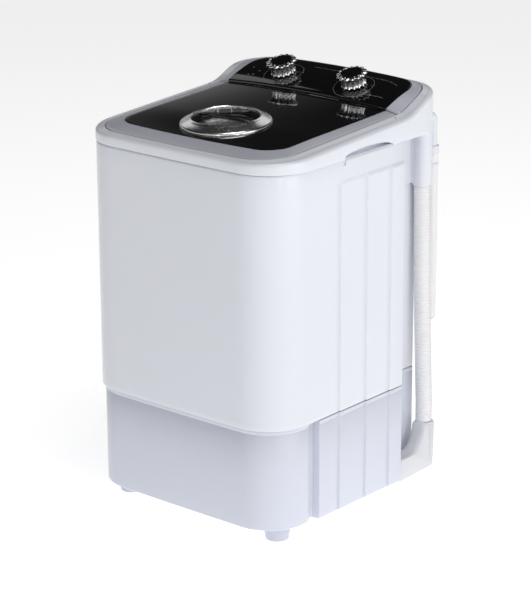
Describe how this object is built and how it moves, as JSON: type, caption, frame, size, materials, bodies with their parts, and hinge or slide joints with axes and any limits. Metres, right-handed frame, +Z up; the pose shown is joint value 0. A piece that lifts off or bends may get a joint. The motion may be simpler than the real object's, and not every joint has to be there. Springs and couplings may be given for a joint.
{
  "type": "top load washing machine",
  "caption": "Compact single-tub washer with a hinged top lid, round chrome finger ring, twin rotary controls, belt-driven pulsator and side drain hose.",
  "frame": {"origin": "on the floor below the middle of the cabinet's footprint, between the four feet", "axes": "+Z up; the front faces -Y; +X is to the right seen from the front"},
  "size_m": [0.36, 0.4013, 0.6027],
  "materials": {
    "shell_white": "satin",
    "base_lilac": "satin",
    "foot_plastic": "satin",
    "trim_grey": "satin",
    "gloss_black": "high gloss",
    "chrome_plate": "mirror",
    "steel": "satin",
    "tub_plastic": "satin",
    "pulsator_blue": "satin",
    "cast_aluminium": "cast",
    "dark_plastic": "matt",
    "pale_plastic": "matt",
    "copper_winding": "enamelled wire",
    "black_rubber": "matt",
    "pipe_grey": "satin",
    "hose_plastic": "satin"
  },
  "bodies": {
    "cabinet": {"base_shell": "base_lilac", "foot_front_left": "foot_plastic", "foot_front_right": "foot_plastic", "foot_rear_left": "foot_plastic", "foot_rear_right": "foot_plastic", "cabinet_shell": "shell_white", "top_cover": "shell_white", "top_cover_screws": "steel", "rear_cover": "shell_white", "rear_cover_screws": "steel", "panel_frame": "trim_grey", "panel_fascia": "gloss_black", "wash_timer": "pale_plastic", "mode_switch": "dark_plastic", "wash_tub": "tub_plastic", "shaft_seal": "black_rubber", "upper_bearing": "steel", "lower_bearing": "steel", "bearing_housing": "cast_aluminium", "drive_belt": "black_rubber", "motor_housing": "cast_aluminium", "motor_stator": "copper_winding", "motor_bracket": "steel", "motor_screws": "steel", "run_capacitor": "pale_plastic", "drain_grate": "tub_plastic", "drain_pipe": "pipe_grey", "drain_outlet": "pipe_grey", "drain_elbow": "hose_plastic", "drain_hose": "hose_plastic", "hose_holder": "shell_white", "inlet_elbow": "shell_white", "inlet_spout": "shell_white", "fill_hose": "hose_plastic", "cord_gland": "black_rubber"},
    "lid": {"lid_frame": "trim_grey", "lid_panel": "gloss_black", "lid_ring": "chrome_plate", "lid_finger_cup": "gloss_black", "hinge_pin_left": "steel", "hinge_pin_right": "steel"},
    "timer_dial": {"timer_knob": "chrome_plate", "timer_knob_cap": "gloss_black", "timer_shaft": "steel"},
    "selector_dial": {"selector_knob": "chrome_plate", "selector_knob_cap": "gloss_black", "selector_shaft": "steel"},
    "agitator": {"pulsator": "pulsator_blue", "pulsator_screw": "steel", "drive_shaft": "steel", "drive_pulley": "dark_plastic", "pulley_nut": "steel"},
    "rotor": {"motor_rotor": "steel", "motor_shaft": "steel", "motor_pulley": "steel"}
  },
  "joints": [
    {"name": "lid_hinge", "type": "hinge", "parent": "cabinet", "child": "lid", "pos_m": [0, 0.077, 0.553], "axis": [-1, 0, 0], "range_deg": [0, 95]},
    {"name": "timer_turn", "type": "hinge", "parent": "cabinet", "child": "timer_dial", "pos_m": [-0.0635, 0.1182, 0.57875], "axis": [0, 0.299, -0.9542], "range_deg": [0, 300]},
    {"name": "selector_turn", "type": "hinge", "parent": "cabinet", "child": "selector_dial", "pos_m": [0.0635, 0.1182, 0.57875], "axis": [0, 0.299, -0.9542], "range_deg": [0, 90]},
    {"name": "drive_spin", "type": "hinge", "parent": "cabinet", "child": "agitator", "pos_m": [0, -0.042, 0.19], "axis": [0, 0, 1], "continuous": true},
    {"name": "motor_spin", "type": "hinge", "parent": "cabinet", "child": "rotor", "pos_m": [0.07, 0.06, 0.14], "axis": [0, 0, 1], "continuous": true}
  ],
  "couplings": [
    {"joint": "motor_spin", "follows": "drive_spin", "ratio": 5}
  ]
}
